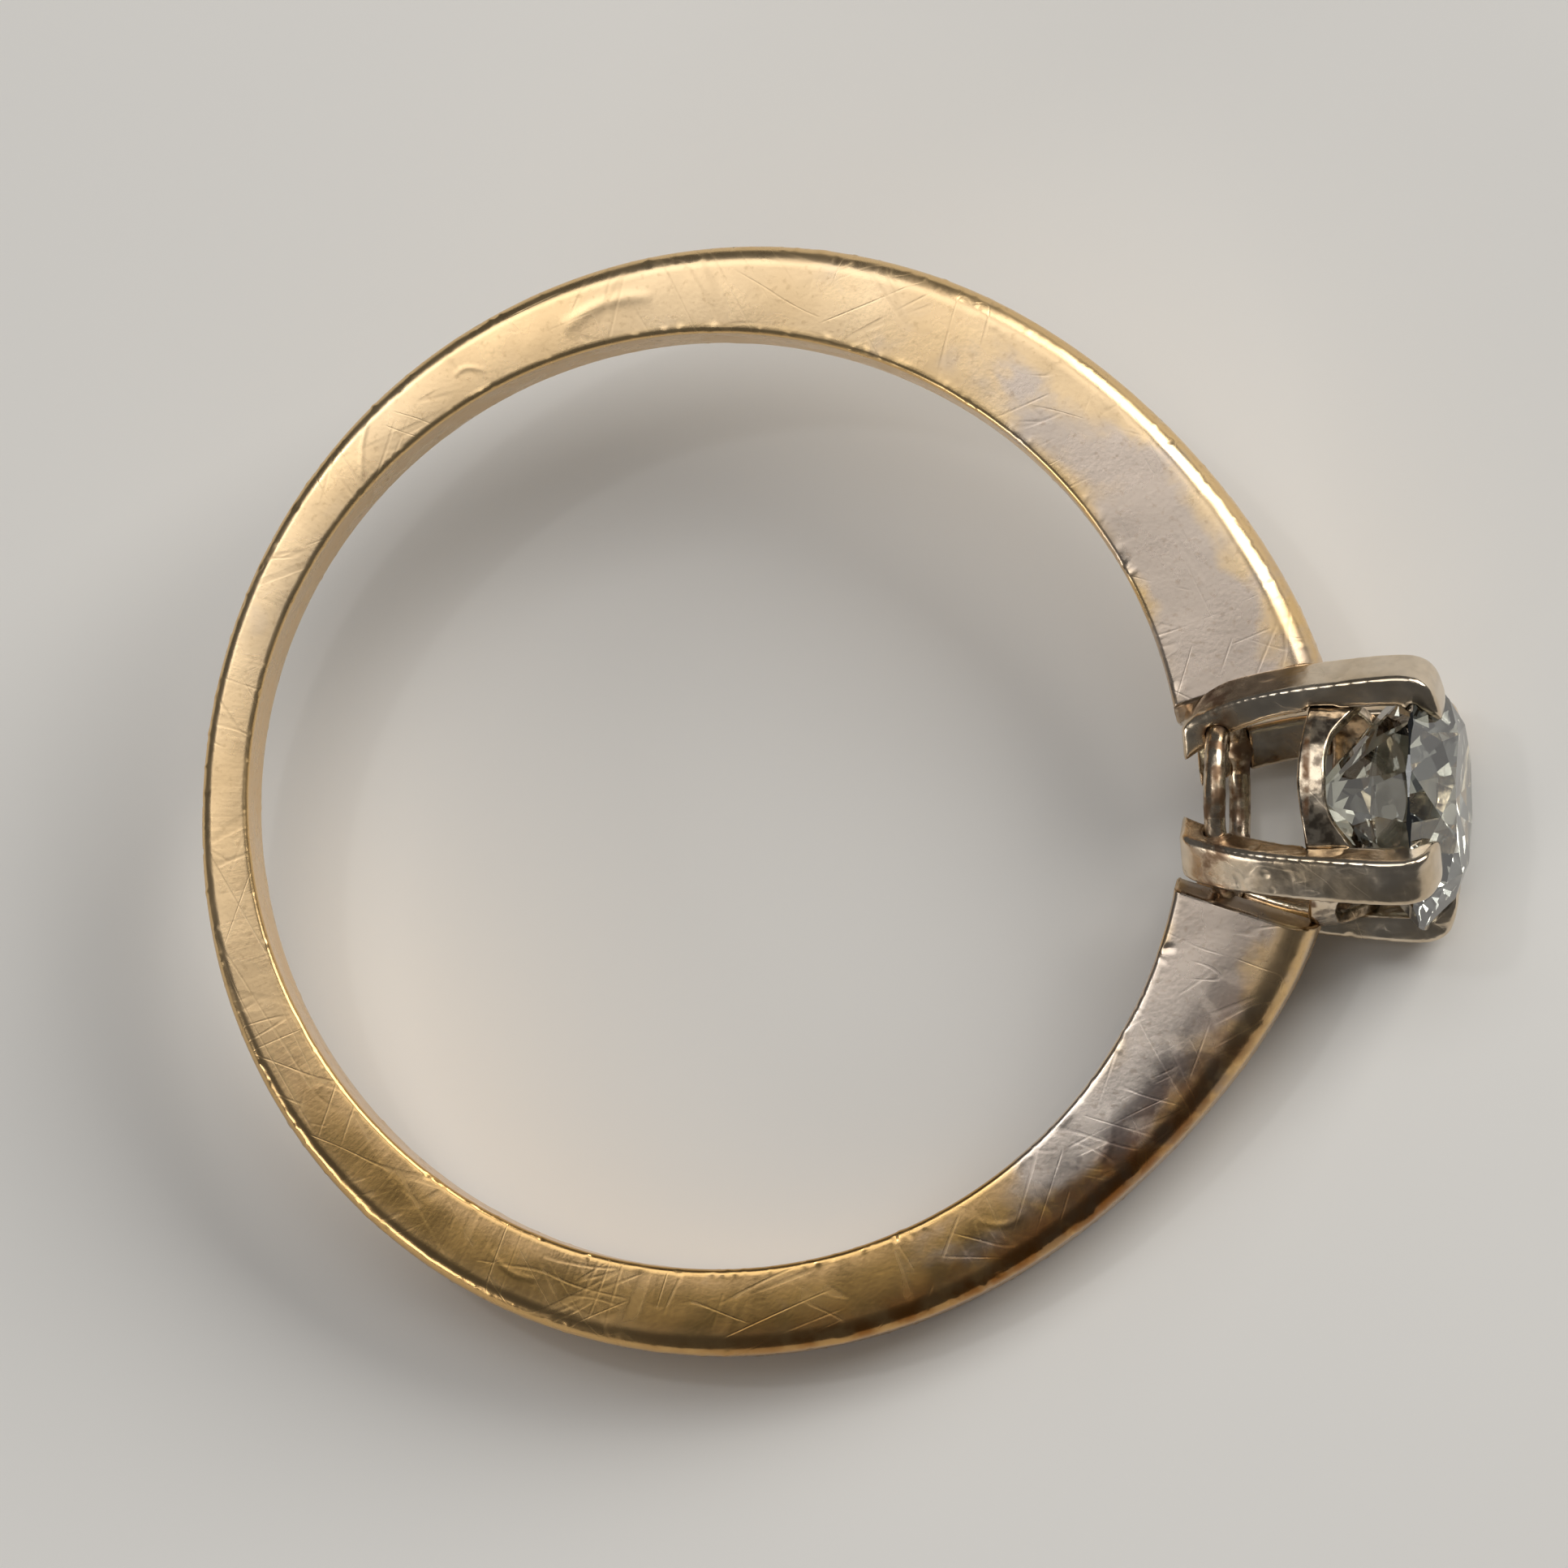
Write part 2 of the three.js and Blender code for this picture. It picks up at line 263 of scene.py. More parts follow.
def close_end(vertices, faces, shares, ring, first, side):
    """Fills a shoulder's end with rows that cross from one side face to the other."""
    points = len(ring)
    loop = 2 * points - 2
    rows = []
    for k in range(points):
        if k in (0, points - 1):
            rows.append([first + k] * (END_COLUMNS + 1))
            continue
        row = [first + k]
        x, y, z, share = ring[k]
        for column in range(1, END_COLUMNS):
            across = z * (1 - 2 * column / END_COLUMNS)
            width = gap_half_width(x, across)
            row.append(len(vertices))
            vertices.append((x, side * width, across))
            shares.append(share)
        row.append(first + loop - k)
        rows.append(row)
    for lower, upper in zip(rows, rows[1:]):
        for a, b, c, d in zip(lower, lower[1:], upper[1:], upper):
            corners = list(dict.fromkeys((a, b, c, d)))
            if len(corners) > 2:
                faces.append(corners)


# Marks of long wear on the side faces: angle and share of the thickness at which
# each one starts and ends, its half width and its depth.
DENTS = (
    ((97.0, 0.5), (108.0, 0.4), 0.06, 0.012),
    ((56.0, 0.68), (69.0, 0.8), 0.02, 0.006),
    ((131.5, 0.88), (137.5, 0.2), 0.022, 0.007),
    ((118.0, 0.3), (121.5, 0.5), 0.02, 0.005),
    ((302.0, 0.3), (307.0, 0.5), 0.02, 0.005),
    ((322.0, 0.3), (316.0, 0.6), 0.018, 0.006),
    ((243.0, 0.4), (250.0, 0.5), 0.018, 0.005),
)
DENT_BOW = 0.1


def dent_depth(angle, share, thickness):
    """Depth of the listed dents at a point of the side face."""
    depth = 0.0
    for (angle_a, share_a), (angle_b, share_b), half_width, deepest in DENTS:
        along = (angle - angle_a) / (angle_b - angle_a)
        if not -0.05 < along < 1.05:
            continue
        bow = DENT_BOW * math.sin(math.pi * along)
        middle = share_a + (share_b - share_a) * along + bow
        fade = math.sin(math.pi * min(1, max(0, along))) ** 0.5
        depth += deepest * fade * bell((share - middle) * thickness, half_width)
    return depth


def shank_wear(share, place):
    """Height of the worn surface over the ideal one."""
    wave = 0.007 * noise.noise(place * 0.35) + 0.002 * noise.noise(place * 1.5)
    outer_edge = bell(share - 0.95, 0.07)
    inner_edge = bell(share - 0.03, 0.05)
    nicks = 0.03 * above(noise.noise(place * 2.3 + Vector((7, 0, 0))), 0.3)
    small_nicks = 0.04 * above(noise.noise(place * 7.0 + Vector((0, 9, 0))), 0.38)
    burrs = 0.07 * above(noise.noise(place * 6.1 + Vector((0, 0, 5))), 0.5)
    return wave + (outer_edge + 0.6 * inner_edge) * (burrs - nicks - small_nicks)


def build_shank():
    vertices, faces, shares = [], [], []
    rings = shank_rings()
    points = len(rings[0])
    loop = 2 * points - 2
    for ring in rings:
        mirrored = ring[-2:0:-1] * (1, 1, -1, 1)
        for x, y, z, share in (*ring, *mirrored):
            vertices.append((x, y, z))
            shares.append(share)
    for i in range(len(rings) - 1):
        for j in range(loop):
            a = i * loop + j
            b = i * loop + (j + 1) % loop
            faces.append((a, b, b + loop, a + loop))
    close_end(vertices, faces, shares, rings[0], 0, 1)
    close_end(vertices, faces, shares, rings[-1], (len(rings) - 1) * loop, -1)
    shank = mesh_object("worn_shank", vertices, faces)

    def height_at(i, place):
        angle = math.degrees(math.atan2(place.y, place.x)) % 360
        thickness = math.hypot(place.x, place.y) - BORE_RADIUS
        worn = shank_wear(shares[i], place)
        if place.z > BAND_WIDTH / 4:
            worn -= dent_depth(angle, shares[i], max(thickness, 0.5))
        return worn

    push_along_normals(shank.data, height_at)
    across = shank.data.attributes.new("across", "FLOAT", "POINT")
    across.data.foreach_set("value", shares)
    return shank


# ---------------------------------------------------------------- head

def build_claw(node):
    """The CAD claw with evenly spaced faces, its edges worn round and its faces a
    little uneven."""
    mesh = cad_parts[node].data.copy()
    mesh.transform(Matrix.Scale(1 / MM, 4) @ HEAD.inverted())
    rough = bpy.data.objects.new("rough_" + node, mesh)
    bpy.context.scene.collection.objects.link(rough)
    even = rough.modifiers.new("even", "REMESH")
    even.mode = "VOXEL"
    even.voxel_size = CLAW_FACE_SIZE
    worn = rough.modifiers.new("worn", "SMOOTH")
    worn.factor = CLAW_SMOOTHING
    worn.iterations = CLAW_SMOOTHING_STEPS
    bpy.context.view_layer.update()
    evaluated = rough.evaluated_get(bpy.context.evaluated_depsgraph_get())
    smooth_mesh = bpy.data.meshes.new_from_object(evaluated)
    bpy.data.objects.remove(rough)
    smooth_mesh.materials.clear()
    smooth_mesh.transform(Matrix.Scale(MM, 4))
    smooth_mesh.name = "worn_" + node
    smooth_mesh.polygons.foreach_set("use_smooth", [True] * len(smooth_mesh.polygons))
    claw = bpy.data.objects.new("worn_" + node, smooth_mesh)
    bpy.context.scene.collection.objects.link(claw)
    push_along_normals(
        smooth_mesh,
        lambda i, place: 0.012 * noise.noise(place * 1.1)
        - 0.02 * above(noise.noise(place * 3.1 + Vector((3, 1, 4))), 0.35),
    )
    return set_in_head(claw)


def closed_loop_faces(rings, loop):
    """Quads of a tube whose last ring joins its first."""
    faces = []
    for i in range(rings):
        for j in range(loop):
            here, there = i * loop, (i + 1) % rings * loop
            faces.append((here + j, here + (j + 1) % loop, there + (j + 1) % loop, there + j))
    return faces


def nearest_claw(angle):
    """Angle to the nearest claw round the head's axis."""
    pitch = 2 * math.pi / CLAW_COUNT
    return angle % pitch - pitch / 2


def build_lower_rail():
    """Round wire, swollen with solder where it meets the claws."""
    rings, loop = 240, 28
    vertices = []
    for i in range(rings):
        angle = 2 * math.pi * i / rings
        wire = LOWER_RAIL_WIRE + SOLDER_SWELL * bell(nearest_claw(angle), SOLDER_SPREAD)
        for j in range(loop):
            turn = 2 * math.pi * j / loop
            radius = LOWER_RAIL_RADIUS + wire * math.cos(turn)
            vertices.append((
                radius * math.cos(angle),
                radius * math.sin(angle),
                LOWER_RAIL_HEIGHT + wire * math.sin(turn),
            ))
    rail = mesh_object("lower_gallery_wire", vertices, closed_loop_faces(rings, loop))
    push_along_normals(
        rail.data,
        lambda i, place: 0.014 * noise.noise(place * 2.3) + 0.005 * noise.noise(place * 7),
    )
    return set_in_head(rail)


def rail_corners(bottom, top):
    """The four rounded corners of the gallery band's section, narrower at the top,
    each as a list of points."""
    corners = (
        (-UPPER_RAIL_HALF_WALL, bottom, math.pi),
        (UPPER_RAIL_HALF_WALL, bottom, 1.5 * math.pi),
        (UPPER_RAIL_TOP_SHARE * UPPER_RAIL_HALF_WALL, top, 0),
        (-UPPER_RAIL_TOP_SHARE * UPPER_RAIL_HALF_WALL, top, 0.5 * math.pi),
    )
    rounded = []
    for x, height, start in corners:
        centre_x = x - math.copysign(UPPER_RAIL_EDGE, x)
        centre_z = height + math.copysign(UPPER_RAIL_EDGE, (top + bottom) / 2 - height)
        arc = []
        for step in range(5):
            turn = start + math.pi / 2 * step / 4
            arc.append((
                UPPER_RAIL_MIDDLE + centre_x + UPPER_RAIL_EDGE * math.cos(turn),
                centre_z + UPPER_RAIL_EDGE * math.sin(turn),
            ))
        rounded.append(arc)
    return rounded


def joined_outline(arcs, steps):
    """One closed outline, with evenly spaced points from each arc to the next."""
    outline = []
    for arc, following in zip(arcs, arcs[1:] + arcs[:1]):
        outline += arc
        before, after = arc[-1], following[0]
        for step in range(1, steps):
            share = step / steps
            outline.append(tuple(a + (b - a) * share for a, b in zip(before, after)))
    return outline


def build_upper_rail():
    """Flat band under the stone: its lower edge hangs from claw to claw, and its
    upper edge is scalloped and climbs each claw."""
    rings = 288
    vertices = []
    for i in range(rings):
        angle = 2 * math.pi * i / rings
        towards_claw = (1 - math.cos(CLAW_COUNT * angle)) / 2
        bottom = UPPER_RAIL_BOTTOM - UPPER_RAIL_DIP * (1 - towards_claw)
        top = UPPER_RAIL_BOTTOM + UPPER_RAIL_HEIGHT - UPPER_RAIL_DIP
        top += (UPPER_RAIL_DIP + UPPER_RAIL_RISE) * towards_claw ** 2
        for radius, height in joined_outline(rail_corners(bottom, top), 6):
            vertices.append((radius * math.cos(angle), radius * math.sin(angle), height))
    loop = len(vertices) // rings
    rail = mesh_object("upper_gallery_band", vertices, closed_loop_faces(rings, loop))
    push_along_normals(
        rail.data,
        lambda i, place: 0.014 * noise.noise(place * 2.9) + 0.006 * noise.noise(place * 9),
    )
    return set_in_head(rail)


def height_on_plane(corners, x, y):
    """Height at x, y of the plane through three corners."""
    a, b, c = corners
    normal = (b - a).cross(c - a)
    return a.z - (normal.x * (x - a.x) + normal.y * (y - a.y)) / normal.z


def polar(radius, turn, height):
    angle = 2 * math.pi * turn / MAIN_FACETS
    return Vector((radius * math.cos(angle), radius * math.sin(angle), height))


def build_diamond():
    """Round brilliant: the hull of its facets' corners and of a round girdle that
    lies on the half facets."""
    half_turn = math.cos(math.pi / MAIN_FACETS)
    table_radius = TABLE_SHARE * STONE_RADIUS
    star_radius = table_radius * half_turn
    star_radius += STAR_SHARE * (STONE_RADIUS - star_radius)
    half_radius = (1 - LOWER_HALF_SHARE) * STONE_RADIUS
    crown_base = GIRDLE_HEIGHT + GIRDLE_HALF_THICKNESS
    pavilion_base = GIRDLE_HEIGHT - GIRDLE_HALF_THICKNESS

    def crown(reach):
        return crown_base + (STONE_RADIUS - reach) * math.tan(CROWN_ANGLE)

    def pavilion(reach):
        return pavilion_base - (STONE_RADIUS - reach) * math.tan(PAVILION_ANGLE)

    points = [Vector((0, 0, pavilion(0)))]
    for k in range(MAIN_FACETS):
        points.append(polar(table_radius, k, crown(table_radius)))
        points.append(polar(star_radius, k + 0.5, crown(star_radius * half_turn)))
        points.append(polar(half_radius, k + 0.5, pavilion(half_radius * half_turn)))
    for step in range(GIRDLE_STEPS):
        turn = MAIN_FACETS * step / GIRDLE_STEPS
        sector = math.floor(2 * turn) / 2
        middle = math.floor(turn) + 0.5
        place = polar(STONE_RADIUS, turn, 0)
        for base, inner in (
            (crown_base, polar(star_radius, middle, crown(star_radius * half_turn))),
            (pavilion_base, polar(half_radius, middle, pavilion(half_radius * half_turn))),
        ):
            corners = (
                inner,
                polar(STONE_RADIUS, sector, base),
                polar(STONE_RADIUS, sector + 0.5, base),
            )
            points.append(Vector((place.x, place.y, height_on_plane(corners, place.x, place.y))))
    mesh = bpy.data.meshes.new("cut_diamond")
    hull = bmesh.new()
    for point in points:
        hull.verts.new(point)
    bmesh.ops.convex_hull(hull, input=hull.verts)
    bmesh.ops.recalc_face_normals(hull, faces=hull.faces)
    hull.to_mesh(mesh)
    hull.free()
    mesh.transform(Matrix.Scale(MM, 4))
    stone = bpy.data.objects.new("cut_diamond", mesh)
    bpy.context.scene.collection.objects.link(stone)
    return set_in_head(stone)


# ---------------------------------------------------------------- materials

# Colours in 0-255 steps
CHAMPAGNE = (236, 207, 166)
WARM_CHAMPAGNE = (231, 197, 149)
RIM_GOLD = (240, 200, 132)
# Painted shade for the lower part of the band.
SHADED_GOLD = (190, 146, 80)
# Painted dark reflection for the middle of the side faces at the bottom.
REFLECTION_OLIVE = (150, 116, 58)
RHODIUM = (196, 184, 176)
BRIGHT_RHODIUM = (240, 226, 212)
# Painted dark reflection on the lower shoulder.
GREY_REFLECTION = (84, 76, 76)
# Painted shade at the bottom of the band.
BROWN_SHADE = (140, 86, 36)
SPECKLE = (150, 116, 76)
PALE_WHITE_GOLD = (228, 212, 190)
DULL_WHITE_GOLD = (212, 192, 164)
DARK_MOTTLE = (84, 70, 58)
SOLDER_STAIN = (96, 62, 34)
STONE_TINT = (228, 231, 220)
# Painted shade for the stone.
STONE_SHADE = (214, 216, 200)
PALE_FLOOR = (244, 242, 238)
DULL_FLOOR = (238, 236, 232)

class Shader:
    """A node material being built. Places are in millimetres, in the ring's frame or,
    for a piece of the head, in the head's."""

    def __init__(self, name, in_head=False):
        self.material = bpy.data.materials.new(name)
        self.material.use_nodes = True
        self.tree = self.material.node_tree
        self.surface = self.tree.nodes["Principled BSDF"]
        own = self.add("ShaderNodeTexCoord", {}).outputs["Object"]
        self.place = self.vector("MULTIPLY", own, (1 / MM,) * 3)
        if in_head:
            self.place = self.add("ShaderNodeMapping", {
                "Vector": self.place,
                "Location": tuple(HEAD.translation / MM),
                "Rotation": tuple(HEAD.to_euler()),
            }, vector_type="TEXTURE").outputs["Vector"]

    def add(self, kind, inputs, **settings):
        node = self.tree.nodes.new(kind)
        for key, value in settings.items():
            setattr(node, key, value)
        for key, value in inputs.items():
            self.feed(node.inputs[key], value)
        return node

    def feed(self, socket, value):
        if isinstance(value, bpy.types.NodeSocket):
            self.tree.links.new(value, socket)
        else:
            socket.default_value = value

    def vector(self, operation, a, b):
        node = self.add("ShaderNodeVectorMath", {0: a, 1: b}, operation=operation)
        return node.outputs[0]

    def math(self, operation, a, b=0.0):
        node = self.add("ShaderNodeMath", {0: a, 1: b}, operation=operation)
        return node.outputs[0]

    def noise(self, place, scale, detail=3.0, distortion=0.0):
        node = self.add("ShaderNodeTexNoise", {
            "Vector": place,
            "Scale": scale,
            "Detail": detail,
            "Distortion": distortion,
        })
        return node.outputs["Fac"]

    def ramp(self, value, low, high, to_low=0.0, to_high=1.0):
        node = self.add(
            "ShaderNodeMapRange",
            {
                "Value": value,
                "From Min": low,
                "From Max": high,
                "To Min": to_low,
                "To Max": to_high,
            },
            interpolation_type="SMOOTHSTEP",
        )
        return node.outputs["Result"]

    def mix(self, factor, a, b):
        node = self.add("ShaderNodeMix", {}, data_type="RGBA")
        self.feed(node.inputs[0], factor)
        self.feed(node.inputs[6], a)
        self.feed(node.inputs[7], b)
        return node.outputs[2]

    def turned(self, place, angles, stretch):
        """The place turned about three axes, then stretched along them."""
        node = self.add("ShaderNodeMapping", {
            "Vector": place,
            "Rotation": tuple(math.radians(a) for a in angles),
            "Scale": stretch,
        }, vector_type="TEXTURE")
        return node.outputs["Vector"]

    def scratches(self, angles, spacing, length, width):
        """Fine straight lines: 1 on a scratch and 0 elsewhere."""
        run = self.turned(self.place, angles, (length, spacing, spacing))
        field = self.noise(run, 1.0, 1.0, 0.15)
        off_line = self.math("ABSOLUTE", self.math("SUBTRACT", field, 0.5))
        line = self.ramp(off_line, 0.0, width, 1.0, 0.0)
        patches = self.noise(self.vector("ADD", self.place, angles), 0.6, 2.0)
        present = self.ramp(patches, 0.5, 0.62)
        return self.math("MULTIPLY", line, present)

    def sum(self, *values):
        total = values[0]
        for value in values[1:]:
            total = self.math("ADD", total, value)
        return total

    def bump(self, height, depth, normal=None):
        inputs = {"Height": height, "Distance": depth * MM, "Strength": 1.0}
        if normal is not None:
            inputs["Normal"] = normal
        return self.add("ShaderNodeBump", inputs).outputs["Normal"]


def srgb(red, green, blue):
    """A colour given in 0-255 steps, as linear values."""
    channels = [(c / 255) ** 2.2 for c in (red, green, blue)]
    return (*channels, 1.0)


class BandPlace:
    """Where a point lies on the band: round it, through its thickness and along
    the finger."""

    def __init__(self, gold):
        parts = gold.add("ShaderNodeSeparateXYZ", {"Vector": gold.place})
        self.flat = gold.vector("MULTIPLY", gold.place, (1.0, 1.0, 0.0))
        length = gold.add("ShaderNodeVectorMath", {0: self.flat}, operation="LENGTH")
        radius = length.outputs["Value"]
        self.cosine = gold.math("DIVIDE", parts.outputs["X"], radius)
        self.sine = gold.math("DIVIDE", parts.outputs["Y"], radius)
        attribute = gold.add("ShaderNodeAttribute", {}, attribute_name="across")
        self.across = attribute.outputs["Fac"]
        self.off_middle = gold.math("ABSOLUTE", gold.math("SUBTRACT", self.across, 0.5))
        off_centre = gold.math("ABSOLUTE", parts.outputs["Z"])
        self.on_sides = gold.ramp(off_centre, 0.65, 1.05, 0.15, 1.0)
        self.lower = gold.ramp(self.sine, -0.1, -0.75)
        self.near_head = gold.ramp(self.cosine, 0.2, 0.93)


def bare_gold(gold, spot):
    """Champagne gold, warmer at the rims, with painted shade on the lower part and a painted dark
    reflection mid-face at the bottom.
    """
    tone = gold.ramp(gold.noise(gold.place, 0.3, 3.0), 0.2, 0.8)
    body = gold.mix(tone, srgb(*CHAMPAGNE), srgb(*WARM_CHAMPAGNE))
    rims = gold.ramp(spot.off_middle, 0.34, 0.5)
    body = gold.mix(gold.math("MULTIPLY", rims, 0.6), body, srgb(*RIM_GOLD))
    # Painted shade: the lower part of the band turns a darker, deeper gold.
    body = gold.mix(gold.math("MULTIPLY", spot.lower, 0.6), body, srgb(*SHADED_GOLD))
    # Painted dark reflection: the middle of the side faces at the bottom turns olive.
    at_bottom = gold.ramp(spot.sine, -0.45, -0.8)
    dark_reflection = gold.math("MULTIPLY", gold.ramp(spot.off_middle, 0.4, 0.1), at_bottom)
    return gold.mix(gold.math("MULTIPLY", dark_reflection, 0.55), body, srgb(*REFLECTION_OLIVE))


def plated(gold, spot, body):
    """Cloudy rhodium plating on the shoulders, brightest inside the lower one."""
    off_band = gold.math("ABSOLUTE", gold.math("SUBTRACT", spot.across, 0.36))
    band = gold.ramp(off_band, 0.1, 0.5, 1.0, 0.3)
    cloud = gold.ramp(gold.noise(gold.place, 0.75, 4.0, 0.3), 0.2, 0.8, -0.45, 0.45)
    cover = gold.sum(gold.math("MULTIPLY", spot.near_head, band), cloud)
    cover = gold.ramp(cover, 0.25, 0.8)
    body = gold.mix(gold.math("MULTIPLY", cover, 0.78), body, srgb(*RHODIUM))
    inner_half = gold.ramp(spot.across, 0.62, 0.35)
    inner = gold.math("MULTIPLY", inner_half, gold.ramp(spot.cosine, 0.55, 0.8))
    bright = gold.math("MULTIPLY", gold.math("MULTIPLY", spot.lower, inner), 0.9)
    return gold.mix(bright, body, srgb(*BRIGHT_RHODIUM))


def shaded_lower_shoulder(gold, spot, body):
    """Painted dark reflections as grey blotches, and painted brown shade, on the side faces of the
    lower shoulder.
    """
    # Painted dark reflection: grey blotches on the side faces of the lower shoulder, near the
    # head.
    blotch = gold.ramp(gold.noise(gold.place, 1.7, 5.0, 0.4), 0.4, 0.54)
    shoulder = gold.math("MULTIPLY", spot.lower, spot.near_head)
    grey_reflection = gold.math("MULTIPLY", shoulder, blotch)
    grey_reflection = gold.math("MULTIPLY", grey_reflection, gold.ramp(spot.across, 0.32, 0.5))
    grey_reflection = gold.math("MULTIPLY", grey_reflection, spot.on_sides)
    body = gold.mix(gold.math("MULTIPLY", grey_reflection, 0.92), body, srgb(*GREY_REFLECTION))
    # Painted shade: the outer part of the side faces at the bottom of the band turns brown in
    # patches.
    front = gold.ramp(spot.cosine, -0.35, 0.35)
    outer = gold.ramp(spot.across, 0.4, 0.95)
    brown_shade = gold.math("MULTIPLY", gold.math("MULTIPLY", spot.lower, front), outer)
    patches = gold.ramp(gold.noise(gold.place, 1.8, 6.0), 0.35, 0.6, 0.35, 1.0)
    brown_shade = gold.math("MULTIPLY", brown_shade, gold.math("MULTIPLY", patches, spot.on_sides))
    return gold.mix(gold.math("MULTIPLY", brown_shade, 0.95), body, srgb(*BROWN_SHADE))


def speckled(gold, body):
    speckle = gold.ramp(gold.noise(gold.place, 8.0, 5.0), 0.56, 0.72)
    return gold.mix(gold.math("MULTIPLY", speckle, 0.22), body, srgb(*SPECKLE))


def satin_streaks(gold, spot):
    """Fine brushed streaks, strongest at the back of the band."""
    turned = gold.add("ShaderNodeVectorMath", {0: spot.flat}, operation="NORMALIZE")
    run = gold.vector("MULTIPLY", turned.outputs[0], (70.0, 70.0, 0.0))
    drift = gold.vector("MULTIPLY", gold.place, (0.35, 0.35, 0.6))
    streaks = gold.noise(gold.vector("ADD", run, drift), 1.0, 4.0)
    return gold.math("MULTIPLY", streaks, gold.ramp(spot.cosine, 0.3, -0.3, 0.2, 1.0))


def yellow_gold():
    """Champagne gold: rhodium-grey plating near the shoulders, painted shade and painted dark
    reflections on the lower part, satin streaks at the back and scratches all round."""
    gold = Shader("worn_yellow_gold")
    spot = BandPlace(gold)
    body = plated(gold, spot, bare_gold(gold, spot))
    body = speckled(gold, shaded_lower_shoulder(gold, spot, body))
    gold.feed(gold.surface.inputs["Base Color"], body)

    scratches = gold.sum(
        gold.scratches((0, 0, 24), 0.5, 7.0, 0.03),
        gold.scratches((0, 0, 71), 0.65, 9.0, 0.024),
        gold.scratches((10, 0, 118), 0.55, 7.0, 0.03),
        gold.scratches((0, 12, 163), 0.7, 10.0, 0.024),
    )
    haze = gold.noise(gold.place, 0.9, 5.0)
    roughness = gold.sum(
        gold.ramp(haze, 0.3, 0.7, 0.24, 0.32),
        gold.math("MULTIPLY", spot.lower, -0.06),
        gold.math("MULTIPLY", scratches, 0.06),
    )
    gold.feed(gold.surface.inputs["Roughness"], roughness)

    swell = gold.bump(gold.noise(gold.place, 0.7, 2.0), 0.007)
    fine = gold.sum(
        gold.math("MULTIPLY", gold.noise(gold.place, 12.0, 2.0), 0.14),
        gold.math("MULTIPLY", satin_streaks(gold, spot), 0.2),
        gold.math("MULTIPLY", scratches, -0.16),
    )
    gold.feed(gold.surface.inputs["Normal"], gold.bump(fine, 0.007, swell))
    gold.surface.inputs["Metallic"].default_value = 1.0
    return gold.material


def white_gold(name, darkening, stain_height, stain_spread):
    """Polished white gold with fine scratches. A brown solder stain is centred on
    the given height over the head's base."""
    metal = Shader(name, in_head=True)
    parts = metal.add("ShaderNodeSeparateXYZ", {"Vector": metal.place})
    tone = metal.noise(metal.place, 0.9, 4.0)
    tone = metal.ramp(tone, 0.35, 0.65)
    body = metal.mix(tone, srgb(*PALE_WHITE_GOLD), srgb(*DULL_WHITE_GOLD))
    # Dark mottle of the given strength: random tone, and at the upper gallery band's strong
    # setting also painted dark reflection.
    mottle = metal.ramp(metal.noise(metal.place, 4.5, 6.0), 0.42, 0.62)
    body = metal.mix(metal.math("MULTIPLY", mottle, darkening), body, srgb(*DARK_MOTTLE))
    off_stain = metal.math("ABSOLUTE", metal.math("SUBTRACT", parts.outputs["Z"], stain_height))
    stain = metal.ramp(off_stain, 0.25 * stain_spread, stain_spread, 1.0, 0.0)
    stain = metal.math("MULTIPLY", stain, metal.ramp(metal.noise(metal.place, 3.0, 4.0), 0.4, 0.6))
    body = metal.mix(metal.math("MULTIPLY", stain, 0.8), body, srgb(*SOLDER_STAIN))
    metal.feed(metal.surface.inputs["Base Color"], body)

    scratches = metal.sum(
        metal.scratches((20, 40, 10), 0.35, 5.0, 0.04),
        metal.scratches((70, 10, 60), 0.42, 6.0, 0.034),
        metal.scratches((40, 80, 130), 0.38, 5.0, 0.04),
    )
    haze = metal.noise(metal.place, 1.7, 4.0)
    roughness = metal.sum(
        metal.ramp(haze, 0.3, 0.7, 0.13, 0.26),
        metal.math("MULTIPLY", stain, 0.25),
        metal.math("MULTIPLY", scratches, 0.05),
    )
    metal.feed(metal.surface.inputs["Roughness"], roughness)
    fine = metal.sum(
        metal.math("MULTIPLY", metal.noise(metal.place, 11.0, 3.0), 0.35),
        metal.math("MULTIPLY", scratches, -0.2),
    )
    swell = metal.bump(metal.noise(metal.place, 1.6, 2.0), 0.02)
    metal.feed(metal.surface.inputs["Normal"], metal.bump(fine, 0.005, swell))
    metal.surface.inputs["Metallic"].default_value = 1.0
    return metal.material


def diamond_glass():
    """Clear stone with a faint warm tint, darkened in random patches by painted shade, and a thin
    smear of handling grease.
    """
    stone = Shader("clear_diamond", in_head=True)
    smear = stone.ramp(stone.noise(stone.place, 1.4, 5.0, 0.8), 0.52, 0.74, 0.0, 0.06)
    stone.feed(stone.surface.inputs["Roughness"], smear)
    # Painted shade: the stone's faint tint is darkened towards STONE_SHADE in random patches.
    tint = stone.mix(
        stone.ramp(stone.noise(stone.place, 0.9, 3.0), 0.3, 0.7),
        srgb(*STONE_TINT),
        srgb(*STONE_SHADE),
    )
    stone.feed(stone.surface.inputs["Base Color"], tint)
    stone.surface.inputs["IOR"].default_value = DIAMOND_IOR
    stone.surface.inputs["Transmission Weight"].default_value = 1.0
    return stone.material


def floor_paint():
    """Plain pale matt surface with the faintest unevenness of tone."""
    paint = Shader("pale_surface")
    tone = paint.ramp(paint.noise(paint.place, 0.02, 4.0), 0.3, 0.7)
    paint.feed(
        paint.surface.inputs["Base Color"],
        paint.mix(tone, srgb(*PALE_FLOOR), srgb(*DULL_FLOOR)),
    )
    paint.surface.inputs["Roughness"].default_value = 0.7
    return paint.material


# ---------------------------------------------------------------- stage

